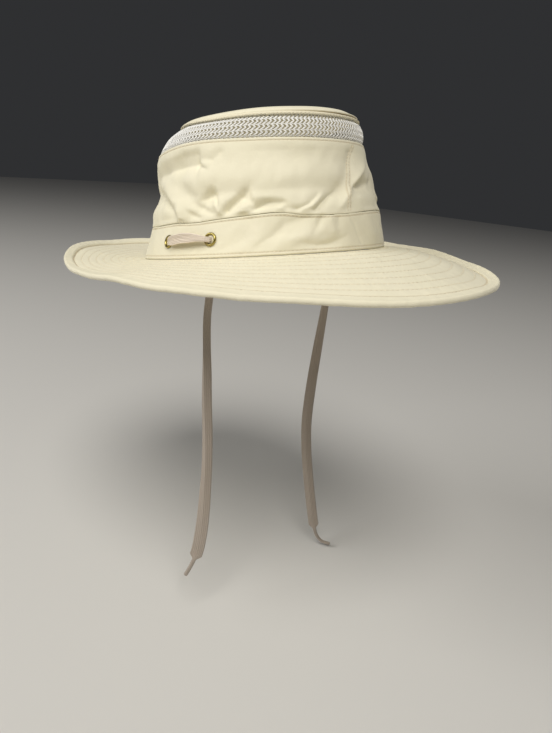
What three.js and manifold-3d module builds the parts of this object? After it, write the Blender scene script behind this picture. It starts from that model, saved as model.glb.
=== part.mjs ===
// A cloth sun hat, kept in the form it has on a head: a stitched oval brim, a soft crown with a
// net vent band under its flat tip, and one flat chin cord laced through four brass eyelets.
//
// Millimetres, +Z up. The hat faces -Y and the wearer's right is -X. The origin is the middle of
// the head opening, where the crown meets the brim. The hat sits tipped back on the head, so the
// cloth pieces are in a turned group, and the two cord ends hang plumb in the outer group.
import * as THREE from 'three';
import Module from 'manifold-3d';
import { mergeVertices } from 'three/addons/utils/BufferGeometryUtils.js';

const wasm = await Module();
wasm.setup();

// Driving dimensions.
const TIP_BACK = 10.5; // degrees that the hat leans back on the head
const CLOTH = 1.4; // wall of the crown's cloth
const BAND_CLOTH = 1.6; // wall of the folded band
const BRIM_CLOTH = 2.4; // the brim's two plies stitched together
const NET = 1.0; // wall of the net
const GAP = 0.3; // clearance between pieces that touch
const TUCK = 4; // how far one ring of cloth goes behind the next
const AROUND = 56; // steps round the hat
const EYELET = { outer: 4.8, hole: 2.9, proud: 1.2, flange: 0.5, up: 12.1 };
const EYELETS = [
  { name: 'eyelet_right_front', bearing: 77 },
  { name: 'eyelet_right_rear', bearing: 101 },
  { name: 'eyelet_left_front', bearing: -77 },
  { name: 'eyelet_left_rear', bearing: -101 },
];
const TAPE = { width: 10.5, thick: 1.6, folded: 6, foldedThick: 2.6, tip: 3.4 };
const LACED = { width: 3.8, thick: 1.7 }; // the tape squeezed through an eyelet

// The crown's outer face, as ovals one over the other. Each is centred `forward` of the origin,
// and `pitch` is how much it rises per millimetre forward.
const CROWN = [
  { name: 'head opening', up: 0, halfLength: 100.8, halfWidth: 84.8, forward: 0, pitch: 0 },
  { name: 'band top', up: 23.4, halfLength: 95.5, halfWidth: 77.7, forward: 3.4, pitch: 0 },
  { name: 'vent foot', up: 75, halfLength: 83.4, halfWidth: 68.5, forward: 3, pitch: -0.05 },
  { name: 'vent top', up: 89, halfLength: 72, halfWidth: 59.5, forward: 12.5, pitch: -0.05 },
  { name: 'tip edge', up: 94, halfLength: 67.5, halfWidth: 55.9, forward: 14.3, pitch: -0.054 },
];
const BAND_TOP = CROWN[1].up;
const VENT_FOOT = CROWN[2].up;
const VENT_TOP = CROWN[3].up;
const TIP_EDGE = CROWN[4].up;

// The brim's outer edge: one oval seen from above, and its height at each bearing.
const BRIM = { halfLength: 184.5, halfWidth: 134, forward: -0.9 };
const BRIM_EDGE = [
  { bearing: 0, up: -26.6 },
  { bearing: 30, up: -26.6 },
  { bearing: 60, up: -19.6 },
  { bearing: 90, up: -9.8 },
  { bearing: 120, up: -1.4 },
  { bearing: 150, up: 13.6 },
  { bearing: 180, up: 17.6 },
  { bearing: 210, up: 14.7 },
  { bearing: 240, up: 11.9 },
  { bearing: 270, up: 6.5 },
  { bearing: 300, up: -5.8 },
  { bearing: 330, up: -20.4 },
];

// The crown side's large dents and swells. `out` is negative for a dent.
const FOLDS = [
  { name: 'rear right dent', bearing: 128, up: 47, wide: 26, tall: 11, out: -6 },
  { name: 'rear right swell', bearing: 122, up: 62, wide: 30, tall: 10, out: 2 },
  { name: 'right pinch', bearing: 86, up: 62, wide: 8, tall: 9, out: -3 },
  { name: 'right rear pucker', bearing: 96, up: 36, wide: 12, tall: 9, out: -3 },
  { name: 'right pucker', bearing: 76, up: 36, wide: 9, tall: 9, out: -3 },
  { name: 'right front pucker', bearing: 56, up: 33, wide: 12, tall: 7, out: -2.5 },
  { name: 'front dent', bearing: 0, up: 40, wide: 10, tall: 14, out: -3 },
  { name: 'left dent', bearing: -85, up: 45, wide: 26, tall: 12, out: -4 },
  { name: 'left pucker', bearing: -60, up: 34, wide: 12, tall: 8, out: -3 },
  { name: 'rear dent', bearing: 176, up: 44, wide: 24, tall: 11, out: -4 },
];

const radians = THREE.MathUtils.degToRad;
const lerp = THREE.MathUtils.lerp;

// The value of one column of a table of heights, at a height.
function crownAt(up, column) {
  const last = CROWN.length - 1;
  let row = 0;
  while (row < last - 1 && up > CROWN[row + 1].up) row += 1;
  const low = CROWN[row];
  const high = CROWN[row + 1];
  return lerp(low[column], high[column], (up - low.up) / (high.up - low.up));
}

// A point on an oval, moved `out` along the oval's own normal. The bearing is measured from the
// front, and is positive towards the wearer's right.
function ovalPoint(halfLength, halfWidth, forward, bearing, out) {
  const c = Math.cos(radians(bearing));
  const s = Math.sin(radians(bearing));
  const n = new THREE.Vector2(c / halfLength, s / halfWidth).normalize();
  const ahead = halfLength * c + n.x * out;
  return new THREE.Vector3(-(halfWidth * s + n.y * out), -(ahead + forward), 0);
}

// A point on the crown's outer face, moved `out` from it.
function crownPoint(bearing, up, out) {
  const forward = crownAt(up, 'forward');
  const point = ovalPoint(crownAt(up, 'halfLength'), crownAt(up, 'halfWidth'), forward, bearing, out);
  point.z = up + crownAt(up, 'pitch') * (-point.y - forward);
  return point;
}

// The closed smooth curve through the brim's edge heights.
function brimEdgeUp(bearing) {
  const count = BRIM_EDGE.length;
  const place = (((bearing % 360) + 360) % 360) / (360 / count);
  const row = Math.floor(place);
  const [a, b, c, d] = [-1, 0, 1, 2].map((k) => BRIM_EDGE[(row + k + count) % count].up);
  const t = place - row;
  return b + 0.5 * t * (c - a + t * (2 * a - 5 * b + 4 * c - d + t * (3 * (b - c) + d - a)));
}

// A point on the brim's upper face: `across` is 0 at the head opening and 1 at the edge, and the
// brim bends mostly in its outer half.
function brimPoint(bearing, across, down) {
  const inner = ovalPoint(CROWN[0].halfLength, CROWN[0].halfWidth, 0, bearing, -BAND_CLOTH);
  const edge = ovalPoint(BRIM.halfLength, BRIM.halfWidth, BRIM.forward, bearing, 0);
  const point = inner.lerp(edge, across);
  point.z = brimEdgeUp(bearing) * across ** 1.35 - down;
  return point;
}

function foldAt(bearing, up) {
  let out = 0;
  for (const fold of FOLDS) {
    const turn = ((bearing - fold.bearing + 540) % 360) - 180;
    const across = (radians(turn) * CROWN[2].halfWidth) / fold.wide;
    const along = (up - fold.up) / fold.tall;
    out += fold.out * Math.exp(-(across * across) - along * along);
  }
  return out;
}

// A closed ring of cloth: `section(bearing)` gives the points round its cut edge, and the same
// number of them at every bearing. The points run so that the faces turn outwards.
function ringGeometry(section) {
  const rows = [];
  for (let i = 0; i < AROUND; i += 1) rows.push(section((-360 * i) / AROUND));
  const count = rows[0].length;
  const index = [];
  for (let i = 0; i < AROUND; i += 1) {
    for (let j = 0; j < count; j += 1) {
      const a = i * count + j;
      const b = i * count + ((j + 1) % count);
      const c = ((i + 1) % AROUND) * count + ((j + 1) % count);
      const d = ((i + 1) % AROUND) * count + j;
      index.push(a, d, c, a, c, b);
    }
  }
  return indexedGeometry(rows.flat(), index);
}

// A closed plate of cloth: as a ring, with its first point on the upper middle and its last on
// the lower middle shared by every bearing.
function plateGeometry(section) {
  const rows = [];
  for (let i = 0; i < AROUND; i += 1) rows.push(section((-360 * i) / AROUND));
  const count = rows[0].length - 2;
  const points = [rows[0][0], rows[0][count + 1]];
  rows.forEach((row) => points.push(...row.slice(1, count + 1)));
  const index = [];
  for (let i = 0; i < AROUND; i += 1) {
    const here = 2 + i * count;
    const next = 2 + ((i + 1) % AROUND) * count;
    index.push(0, here, next);
    for (let j = 0; j < count - 1; j += 1) {
      index.push(here + j, here + j + 1, next + j + 1, here + j, next + j + 1, next + j);
    }
    index.push(1, next + count - 1, here + count - 1);
  }
  return indexedGeometry(points, index);
}

// A strip between two ends: `sections` are closed outlines of the same number of points.
function stripGeometry(sections) {
  const count = sections[0].length;
  const index = [];
  for (let i = 0; i < sections.length - 1; i += 1) {
    for (let j = 0; j < count; j += 1) {
      const a = i * count + j;
      const b = i * count + ((j + 1) % count);
      index.push(a, b, b + count, a, b + count, a + count);
    }
  }
  const last = (sections.length - 1) * count;
  for (let j = 1; j < count - 1; j += 1) {
    index.push(0, j + 1, j, last, last + j, last + j + 1);
  }
  return indexedGeometry(sections.flat(), index);
}

function indexedGeometry(points, index) {
  const geometry = new THREE.BufferGeometry().setFromPoints(points);
  geometry.setIndex(index);
  geometry.computeVertexNormals();
  return geometry;
}

function piece(name, geometry, material) {
  const mesh = new THREE.Mesh(geometry, material);
  mesh.name = name;
  return mesh;
}

const canvas = new THREE.MeshStandardMaterial({ color: '#efe6c9', roughness: 0.9 });
const net = new THREE.MeshStandardMaterial({ color: '#f0efee', roughness: 0.7 });
const brass = new THREE.MeshStandardMaterial({ color: '#b59a4c', roughness: 0.3, metalness: 1 });
const cotton = new THREE.MeshStandardMaterial({ color: '#e3d3c6', roughness: 0.85 });

// A wall of the crown, from rows of height and distance out. The outer face goes up the rows and
// the inner face comes down them.
function crownWall(rows, thickness, fold) {
  return (bearing) => {
    const face = (inwards) =>
      rows.map(({ up, out, soft }) => {
        const swell = fold ? soft * foldAt(bearing, up) : 0;
        return crownPoint(bearing, up, out + swell - inwards);
      });
    return [...face(0), ...face(thickness).reverse()];
  };
}

// Brim: two plies of canvas stitched together in rows round the hat.
function makeBrim() {
  const steps = [0, 0.12, 0.3, 0.48, 0.64, 0.78, 0.9, 1];
  const section = (bearing) => {
    const upper = steps.map((across) => brimPoint(bearing, across, 0)).reverse();
    const lower = steps.map((across) => brimPoint(bearing, across, BRIM_CLOTH));
    return [...lower, ...upper];
  };
  return piece('brim', ringGeometry(section), canvas);
}

// Band: a folded strip of canvas round the foot of the crown, with four holes for the eyelets.
function makeBand() {
  const rows = [GAP, 8, 16, BAND_TOP].map((up) => ({ up, out: 0, soft: 0 }));
  let band = solidOf(ringGeometry(crownWall(rows, BAND_CLOTH, false)));
  for (const { bearing } of EYELETS) {
    const drill = new THREE.CylinderGeometry(EYELET.hole + 0.9 + GAP, EYELET.hole + 0.9 + GAP, 20, 18);
    drill.rotateX(Math.PI / 2);
    drill.applyMatrix4(eyeletMatrix(bearing));
    band = band.subtract(solidOf(drill));
  }
  return piece('hat_band', geometryOf(band), canvas);
}

function solidOf(geometry) {
  const bare = geometry.clone();
  bare.deleteAttribute('normal');
  bare.deleteAttribute('uv');
  const merged = mergeVertices(bare, 1e-4);
  const vertProperties = new Float32Array(merged.attributes.position.array);
  const triVerts = new Uint32Array(merged.index.array);
  return new wasm.Manifold(new wasm.Mesh({ numProp: 3, vertProperties, triVerts }));
}

function geometryOf(solid) {
  const { vertProperties, triVerts } = solid.getMesh();
  const geometry = new THREE.BufferGeometry();
  geometry.setAttribute('position', new THREE.BufferAttribute(vertProperties, 3));
  geometry.setIndex(new THREE.BufferAttribute(triVerts, 1));
  geometry.computeVertexNormals();
  return geometry;
}

// The place of an eyelet: its own +Z points out of the band.
function eyeletMatrix(bearing) {
  const place = crownPoint(bearing, EYELET.up, 0);
  const beside = crownPoint(bearing + 1, EYELET.up, 0).sub(crownPoint(bearing - 1, EYELET.up, 0));
  const above = crownPoint(bearing, EYELET.up + 1, 0).sub(crownPoint(bearing, EYELET.up - 1, 0));
  const out = crownPoint(bearing, EYELET.up, 1).sub(place);
  const across = beside.normalize();
  const outwards = new THREE.Vector3().crossVectors(above, across).normalize();
  if (outwards.dot(out) < 0) outwards.negate();
  const up = new THREE.Vector3().crossVectors(outwards, across);
  return new THREE.Matrix4().makeBasis(across, up, outwards).setPosition(place);
}

// Eyelet: a brass ring rolled over the cloth outside, with its barrel through the band and a
// thin flange inside.
function makeEyelet({ name, bearing }) {
  const { outer, hole, proud, flange } = EYELET;
  const barrel = hole + 0.9;
  const inside = -BAND_CLOTH - GAP;
  const profile = [new THREE.Vector2(hole, inside - flange)];
  profile.push(new THREE.Vector2(outer - 0.6, inside - flange), new THREE.Vector2(outer - 0.6, inside));
  profile.push(new THREE.Vector2(barrel, inside), new THREE.Vector2(barrel, GAP));
  const middle = (outer + hole) / 2;
  const half = (outer - hole) / 2;
  for (let i = 0; i <= 4; i += 1) {
    const turn = (Math.PI * i) / 4;
    profile.push(new THREE.Vector2(middle + half * Math.cos(turn), GAP + proud * Math.sin(turn)));
  }
  profile.push(profile[0].clone());
  const geometry = new THREE.LatheGeometry(profile, 18);
  geometry.rotateX(Math.PI / 2);
  const ring = piece(name, geometryOf(solidOf(geometry)), brass);
  ring.applyMatrix4(eyeletMatrix(bearing));
  return ring;
}

// Crown side: one ring of canvas, eased into the band at its foot and folded over the net at
// its head.
function makeCrownSide() {
  const rows = [
    { up: BAND_TOP - TUCK, out: -BAND_CLOTH - GAP, soft: 0 },
    { up: BAND_TOP + 0.6, out: -BAND_CLOTH - GAP, soft: 0 },
    { up: BAND_TOP + 3, out: -0.4, soft: 0.4 },
    { up: 32, out: 0.3, soft: 1 },
    { up: 39, out: 0.5, soft: 1 },
    { up: 46, out: 0.6, soft: 1 },
    { up: 53, out: 0.8, soft: 1 },
    { up: 60, out: 0.8, soft: 1 },
    { up: 66, out: 0.5, soft: 0.6 },
    { up: VENT_FOOT - TUCK - 0.6, out: 0.2, soft: 0 },
    { up: VENT_FOOT, out: 0, soft: 0 },
  ];
  return piece('crown_side', ringGeometry(crownWall(rows, CLOTH, true)), canvas);
}

// Vent: a ring of polyester net, sewn behind the crown side and behind the tip's edge.
function makeVent() {
  const behind = -CLOTH - GAP;
  const rows = [
    { up: VENT_FOOT - TUCK, out: behind, soft: 0 },
    { up: VENT_FOOT + 0.6, out: behind, soft: 0 },
    { up: VENT_FOOT + 3, out: -0.6, soft: 0 },
    { up: VENT_TOP - 2.6, out: -0.6, soft: 0 },
    { up: VENT_TOP - 0.6, out: behind - 0.8, soft: 0 },
    { up: VENT_TOP + 2.4, out: behind, soft: 0 },
  ];
  return piece('vent_mesh', ringGeometry(crownWall(rows, NET, false)), net);
}

// Tip: the flat oval top, with its edge turned down over the net.
function makeTip() {
  const middle = new THREE.Vector3(0, -CROWN[4].forward, TIP_EDGE - 0.6);
  const section = (bearing) => {
    const rim = crownPoint(bearing, TIP_EDGE, -1);
    const top = [0.35, 0.7, 0.93].map((share) => middle.clone().lerp(rim, share));
    const outside = [rim.setZ(rim.z + 0.7)];
    outside.push(crownPoint(bearing, TIP_EDGE - 0.7, 0), crownPoint(bearing, VENT_TOP, 0));
    const inside = [VENT_TOP, TIP_EDGE - CLOTH].map((up) => crownPoint(bearing, up, -CLOTH));
    const under = top.map((point) => point.clone().setZ(point.z - CLOTH)).reverse();
    const lowMiddle = middle.clone().setZ(middle.z - CLOTH);
    return [middle, ...top, ...outside, ...inside, ...under, lowMiddle];
  };
  return piece('crown_tip', plateGeometry(section), canvas);
}

// The outline of the tape at one place: `wide` is the direction of its width.
function tapeSection(point, along, wide, width, thick) {
  const side = wide.clone().addScaledVector(along, -wide.dot(along)).normalize();
  const face = new THREE.Vector3().crossVectors(along, side);
  const corner = 0.3 * thick;
  const [w, t] = [width / 2, thick / 2];
  const outline = [[-w + corner, -t], [w - corner, -t], [w, -t + corner], [w, t - corner]];
  outline.push([w - corner, t], [-w + corner, t], [-w, t - corner], [-w, -t + corner]);
  return outline.map(([a, b]) => point.clone().addScaledVector(side, a).addScaledVector(face, b));
}

// A length of tape along a curve. `shape(u)` gives its width, thickness and width direction.
function tapeGeometry(points, steps, shape) {
  const curve = new THREE.CatmullRomCurve3(points, false, 'centripetal');
  const sections = [];
  for (let i = 0; i <= steps; i += 1) {
    const u = i / steps;
    const { width, thick, wide } = shape(u);
    sections.push(tapeSection(curve.getPointAt(u), curve.getTangentAt(u), wide, width, thick));
  }
  return stripGeometry(sections);
}

// Held stretches of the chin cord, in the hat's own group. They follow the band at a height and
// a distance out, row by row.
const SPAN = [
  { bearing: 77, out: -5.2, up: 6.6 },
  { bearing: 77, out: -5.0, up: 9.4 },
  { bearing: 77, out: -3.2, up: 11.9 },
  { bearing: 77, out: -0.8, up: 12.1 },
  { bearing: 77, out: 2, up: 12.1 },
  { bearing: 78.4, out: 4, up: 12.5 },
  { bearing: 82, out: 4.6, up: 13.4 },
  { bearing: 89, out: 5.0, up: 14.2 },
  { bearing: 96, out: 4.6, up: 13.2 },
  { bearing: 99.6, out: 4, up: 12.3 },
  { bearing: 101, out: 2, up: 12.1 },
  { bearing: 101, out: -0.8, up: 12.1 },
  { bearing: 101, out: -3.8, up: 12.1 },
  { bearing: 102.4, out: -5.6, up: 12.1 },
  { bearing: 104.6, out: -5.8, up: 12.1 },
];
const upright = new THREE.Vector3(0, 0, 1);

function makeSpan(name, side) {
  const points = SPAN.map(({ bearing, out, up }) => crownPoint(side * bearing, up, out));
  const ahead = new THREE.Vector3(0, -1, 0);
  const shape = (u) => {
    const open = THREE.MathUtils.smoothstep(1 - Math.abs(2 * u - 1), 0.45, 0.9);
    return {
      width: lerp(LACED.width, TAPE.folded, open),
      thick: lerp(LACED.thick, TAPE.foldedThick, open),
      wide: ahead.clone().lerp(upright, Math.min(1, u * 8)),
    };
  };
  return piece(name, tapeGeometry(points, 28, shape), cotton);
}

function makeBackCord() {
  const points = [];
  const last = SPAN[SPAN.length - 1];
  const start = last.bearing + 0.3;
  for (let i = 0; i <= 15; i += 1) {
    points.push(crownPoint(lerp(start, 360 - start, i / 15), last.up, last.out));
  }
  const shape = (u) => ({
    width: lerp(LACED.width, TAPE.width, Math.min(1, 8 * u, 8 * (1 - u))),
    thick: TAPE.thick,
    wide: upright,
  });
  return piece('cord_back', tapeGeometry(points, 28, shape), cotton);
}

// The two free ends hang from the inner feet of the spans, in the outer group. Their routes are
// forward, to the wearer's right, and up.
const RIGHT_END = [
  { forward: 20.1, right: 75.4, up: 0 },
  { forward: 19.2, right: 75.8, up: -18 },
  { forward: 18.2, right: 76.6, up: -38 },
  { forward: 18.6, right: 76.4, up: -58 },
  { forward: 19.6, right: 75.6, up: -80 },
  { forward: 20.6, right: 75.0, up: -103 },
  { forward: 22.0, right: 73.9, up: -130 },
  { forward: 22.8, right: 73.3, up: -155 },
  { forward: 22.8, right: 73.3, up: -180 },
  { forward: 22.4, right: 73.6, up: -207 },
  { forward: 21.4, right: 74.4, up: -225 },
  { forward: 20.0, right: 75.4, up: -238 },
  { forward: 18.2, right: 76.8, up: -247 },
  { forward: 15.6, right: 78.7, up: -256 },
  { forward: 12.9, right: 80.8, up: -264 },
];
const LEFT_END = [
  { forward: 20.2, right: -75.4, up: 0 },
  { forward: 19.6, right: -75.0, up: -24 },
  { forward: 18.6, right: -74.0, up: -55 },
  { forward: 17.6, right: -72.6, up: -90 },
  { forward: 16.8, right: -71.0, up: -130 },
  { forward: 17.4, right: -70.0, up: -168 },
  { forward: 19.8, right: -71.5, up: -196 },
  { forward: 23.2, right: -74.1, up: -222 },
  { forward: 27.3, right: -77.2, up: -248 },
  { forward: 31.7, right: -80.5, up: -274 },
  { forward: 34.6, right: -82.7, up: -289 },
  { forward: 37.8, right: -85.0, up: -299 },
  { forward: 42.6, right: -88.7, up: -305.6 },
  { forward: 49.3, right: -93.8, up: -308 },
];

function makeFreeEnd(name, side, route, tipShare) {
  const foot = crownPoint(side * SPAN[0].bearing, SPAN[0].up - 2 * GAP, SPAN[0].out);
  const points = route.map(({ forward, right, up }) => new THREE.Vector3(-right, -forward, up));
  points.unshift(foot.applyEuler(worn.rotation));
  const ahead = new THREE.Vector3(0, -1, 0);
  const turned = new THREE.Vector3(0.6, -0.8, 0);
  const shape = (u) => {
    const tip = u > 1 - tipShare;
    const open = THREE.MathUtils.smoothstep(u, 0.1, 0.35);
    return {
      width: tip ? TAPE.tip : lerp(TAPE.folded, TAPE.width, open),
      thick: tip ? TAPE.tip : lerp(TAPE.foldedThick, TAPE.thick, open),
      wide: ahead.clone().lerp(turned, u),
    };
  };
  return piece(name, tapeGeometry(points, 40, shape), cotton);
}

const worn = new THREE.Group();
worn.rotation.x = -radians(TIP_BACK);
worn.add(makeBrim(), makeBand(), makeCrownSide(), makeVent(), makeTip());
worn.add(...EYELETS.map(makeEyelet));
worn.add(makeSpan('cord_right_span', 1), makeSpan('cord_left_span', -1), makeBackCord());

const hat = new THREE.Group();
hat.add(worn);
hat.add(makeFreeEnd('cord_right_end', 1, RIGHT_END, 0.068));
hat.add(makeFreeEnd('cord_left_end', -1, LEFT_END, 0.058));

export default hat;
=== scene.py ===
import math

import bpy
import numpy as np
from mathutils import Matrix, Vector


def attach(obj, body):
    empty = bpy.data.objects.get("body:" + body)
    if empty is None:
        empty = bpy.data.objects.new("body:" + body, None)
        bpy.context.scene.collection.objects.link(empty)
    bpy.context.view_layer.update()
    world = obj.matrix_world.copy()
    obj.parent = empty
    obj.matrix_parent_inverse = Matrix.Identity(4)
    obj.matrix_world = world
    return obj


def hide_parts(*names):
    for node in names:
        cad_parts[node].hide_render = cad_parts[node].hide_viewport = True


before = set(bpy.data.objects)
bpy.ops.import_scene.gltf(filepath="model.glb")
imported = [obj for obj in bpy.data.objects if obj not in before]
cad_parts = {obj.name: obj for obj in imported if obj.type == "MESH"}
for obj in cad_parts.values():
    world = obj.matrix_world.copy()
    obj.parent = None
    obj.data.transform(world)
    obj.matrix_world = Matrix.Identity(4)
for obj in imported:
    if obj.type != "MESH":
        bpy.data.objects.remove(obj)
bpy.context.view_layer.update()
scene = bpy.context.scene

# ---------------------------------------------------------------------------------------------
# Brim. Two plies of nylon and cotton canvas, joined by rows of lockstitch that run round the
# hat, with a folded hem at the edge. It is eased to a soft sway: low in front, raised behind.
MM = 0.001
TIP_BACK = math.radians(-10.5)  # the hat leans back on the head
BRIM_CLOTH = 2.4
BRIM_EDGE = {"half_length": 184.5, "half_width": 134.0, "forward": -0.9}
# by bearing, every 30 degrees from the front towards the wearer's right
EDGE_UP = [-26.6, -26.6, -19.6, -9.8, -1.4, 13.6, 17.6, 14.7, 11.9, 6.5, -5.8, -20.4]
HEAD_OPENING = {"half_length": 100.8, "half_width": 84.8}
BAND_CLOTH = 1.6
LIP = [1.8, 0.5, 0.0, 0.3, 1.6, 3.0, 3.6, 4.2, 5.0, 5.5, 6.0, 4.5]  # how far the hem stands up
BEND = [1.35, 1.35, 1.35, 1.35, 1.35, 1.35, 1.4, 1.6, 1.9, 2.2, 2.2, 1.7]  # 1 is a straight slope
BRIM_ROWS = 10  # rows of stitches, the last one along the hem
LAST_ROW = BRIM_ROWS - 1
HEM = 8.2
FIRST_ROW = 5.0
BRIM_AROUND = 640
QUILT = 0.26  # how far the cloth swells between two rows


def worn(points):
    """The hat's own points, turned to how it sits on the head."""
    c, s = math.cos(TIP_BACK), math.sin(TIP_BACK)
    x, y, z = np.moveaxis(np.asarray(points, float), -1, 0)
    return np.stack([x, y * c - z * s, y * s + z * c], -1)


def oval(half_length, half_width, forward, bearing, out):
    """x and y on an oval, moved out along its normal. Bearing 0 is the front, 90 the wearer's right."""
    c, s = np.cos(np.radians(bearing)), np.sin(np.radians(bearing))
    ahead, side = c / half_length, s / half_width
    size = np.hypot(ahead, side)
    return (
        -(half_width * s + side / size * out),
        -(half_length * c + ahead / size * out + forward),
    )


def smooth_loop(values, bearing):
    """A closed smooth curve through values spaced evenly round the hat."""
    place = np.mod(bearing, 360) / (360 / len(values))
    row = np.floor(place).astype(int)
    t = place - row
    a, b, c, d = (np.take(values, row + k, mode="wrap") for k in (-1, 0, 1, 2))
    return b + 0.5 * t * (
        c - a + t * (2 * a - 5 * b + 4 * c - d + t * (3 * (b - c) + d - a))
    )


def ripple(points, wave, seed, count=28):
    """Smooth noise of about -1 to 1 through space, with waves of about that length in mm."""
    draw = np.random.default_rng(seed)
    ways = draw.normal(size=(count, 3))
    ways /= np.linalg.norm(ways, axis=1)[:, None]
    waves = wave * draw.uniform(0.7, 1.6, count)
    phases = draw.uniform(0, 2 * np.pi, count)
    total = np.zeros(points.shape[:-1])
    for way, length, phase in zip(ways, waves, phases):
        total += np.cos(points @ way * (2 * np.pi / length) + phase)
    return total / math.sqrt(count)


def brim_ends(bearing):
    """x and y where the brim starts at the head and where it ends, and how wide it is there."""
    x0, y0 = oval(*HEAD_OPENING.values(), 0, bearing, -BAND_CLOTH)
    x1, y1 = oval(*BRIM_EDGE.values(), bearing, 0)
    return x0, y0, x1, y1, np.hypot(x1 - x0, y1 - y0)


def brim_point(bearing, across):
    """A point on the brim: across is 0 at the head opening and 1 at the edge."""
    x0, y0, x1, y1, width = brim_ends(bearing)
    lip = smooth_loop(LIP, bearing)
    hem = 1 - HEM / width
    over = np.clip((across - hem) / (1 - hem), 0, 1)
    drop = (smooth_loop(EDGE_UP, bearing) - lip) * (hem + (1 - hem) * over)
    z = drop * np.power(np.minimum(across / hem, 1), smooth_loop(BEND, bearing))
    z = z + (smooth_loop(EDGE_UP, bearing) - drop) * over
    return np.stack([x0 + (x1 - x0) * across, y0 + (y1 - y0) * across, z], -1)


def row_across(bearing, row):
    """How far across the brim a row of stitches lies; past the last row comes the hem."""
    width = brim_ends(bearing)[-1]
    first, hem = FIRST_ROW / width, 1 - HEM / width
    inside = first * np.clip(row + 1, 0, 1)
    stitched = (hem - first) * np.clip(row, 0, LAST_ROW) / LAST_ROW
    return inside + stitched + (1 - hem) * np.clip(row - LAST_ROW, 0, 1)


def linear(colour):
    """A linear RGBA colour from an sRGB hex value."""
    parts = [int(colour[k : k + 2], 16) / 255 for k in (1, 3, 5)]
    return (
        *(c / 12.92 if c <= 0.04045 else ((c + 0.055) / 1.055) ** 2.4 for c in parts),
        1.0,
    )


def add(tree, kind, settings, sockets):
    """Adds a node with its settings, and links or sets its inputs."""
    node = tree.nodes.new(kind)
    for key, value in settings.items():
        setattr(node, key, value)
    for key, value in sockets.items():
        if isinstance(value, bpy.types.NodeSocket):
            tree.links.new(value, node.inputs[key])
        else:
            node.inputs[key].default_value = value
    return node


def placed(name, mesh):
    """An object of the scene for a mesh."""
    made = bpy.data.objects.new(name, mesh)
    scene.collection.objects.link(made)
    return made


def grid_uv(u, v, i, j):
    """The four corners of each face of a grid, from one u for each place and one v a row."""
    corners = ((i, j), (i + 1, j), (i + 1, j + 1), (i, j + 1))
    return np.stack([np.stack([u[a], v[b]], 1) for a, b in corners], axis=1)


def new_piece(name, points, faces, uv, painted_shade, material):
    """A mesh piece from points in mm. uv has a pair in mm for each corner of each face."""
    p = points * MM
    a, b, c, d = (p[faces[:, k]] for k in range(4))
    if np.sum(a * np.cross(b, c)) + np.sum(a * np.cross(c, d)) < 0:  # faces turn inwards
        faces, uv = faces[:, ::-1], uv[:, ::-1]
    mesh = bpy.data.meshes.new(name)
    mesh.from_pydata(p.tolist(), [], faces.tolist())
    mesh.uv_layers.new(name="cloth").data.foreach_set("uv", (uv * MM).ravel())
    # how much painted shade each point gets in its material
    shade_mark = mesh.attributes.new("painted_shade", "FLOAT", "POINT")
    shade_mark.data.foreach_set("value", np.asarray(painted_shade, float).ravel())
    mesh.shade_smooth()
    mesh.materials.append(material)
    return placed(name, mesh)


def ring_piece(name, sections, painted_shade, material):
    """A closed ring of cloth. sections[i, j] goes round the cut edge j at each place i."""
    around, rows = sections.shape[:2]
    i, j = np.meshgrid(np.arange(around), np.arange(rows), indexing="ij")
    i, j = i.ravel(), j.ravel()
    i1, j1 = (i + 1) % around, (j + 1) % rows
    faces = np.stack(
        [i * rows + j, i1 * rows + j, i1 * rows + j1, i * rows + j1], axis=1
    )
    steps = np.linalg.norm(sections[:, 1:] - sections[:, :-1], axis=2).mean(0)
    v = np.concatenate([[0], np.cumsum(steps), [np.sum(steps) + 1]])
    middle = sections.mean(1)
    u = np.concatenate(
        [[0], np.cumsum(np.linalg.norm(np.roll(middle, -1, 0) - middle, axis=1))]
    )
    points = worn(sections).reshape(-1, 3)
    return new_piece(name, points, faces, grid_uv(u, v, i, j), painted_shade, material)


def new_material(name, values):
    """A material with these values on its shader, with its tree and that shader."""
    made = bpy.data.materials.new(name)
    made.use_nodes = True
    shader = made.node_tree.nodes["Principled BSDF"]
    for key, value in values.items():
        shader.inputs[key].default_value = value
    return made, made.node_tree, shader


def noise(tree, place, scale, detail, roughness=0.5):
    sockets = {"Vector": place, "Scale": scale, "Detail": detail, "Roughness": roughness}
    return add(tree, "ShaderNodeTexNoise", {}, sockets).outputs["Fac"]


def blend(tree, share, low, high):
    """A colour between two others, by share."""
    sockets = {"Factor": share, "A": low, "B": high}
    return add(tree, "ShaderNodeMix", {"data_type": "RGBA"}, sockets).outputs["Result"]


def bump(tree, height, strength, distance, **under):
    """A bump over another one, where that is given as Normal."""
    sockets = {"Height": height, "Strength": strength, "Distance": distance, **under}
    return add(tree, "ShaderNodeBump", {}, sockets).outputs["Normal"]


def in_mm(tree, place):
    sockets = {"Vector": place, "Scale": (1000, 1000, 1000)}
    return add(tree, "ShaderNodeMapping", {}, sockets).outputs["Vector"]


def object_place(tree):
    return add(tree, "ShaderNodeTexCoord", {}, {}).outputs["Object"]


def cloth_place(tree):
    """Places on the cloth itself, in mm along its length and its width."""
    return in_mm(tree, add(tree, "ShaderNodeUVMap", {"uv_map": "cloth"}, {}).outputs["UV"])


def painted_shade_share(tree):
    return add(tree, "ShaderNodeAttribute", {"attribute_name": "painted_shade"}, {}).outputs["Fac"]


def waves(tree, place, direction, pitch, **more):
    """Bands one pitch apart, in the place's own unit."""
    sockets = {"Vector": place, "Scale": WAVE_SCALE / pitch, **more}
    return add(tree, "ShaderNodeTexWave", {"bands_direction": direction}, sockets).outputs["Fac"]
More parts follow.
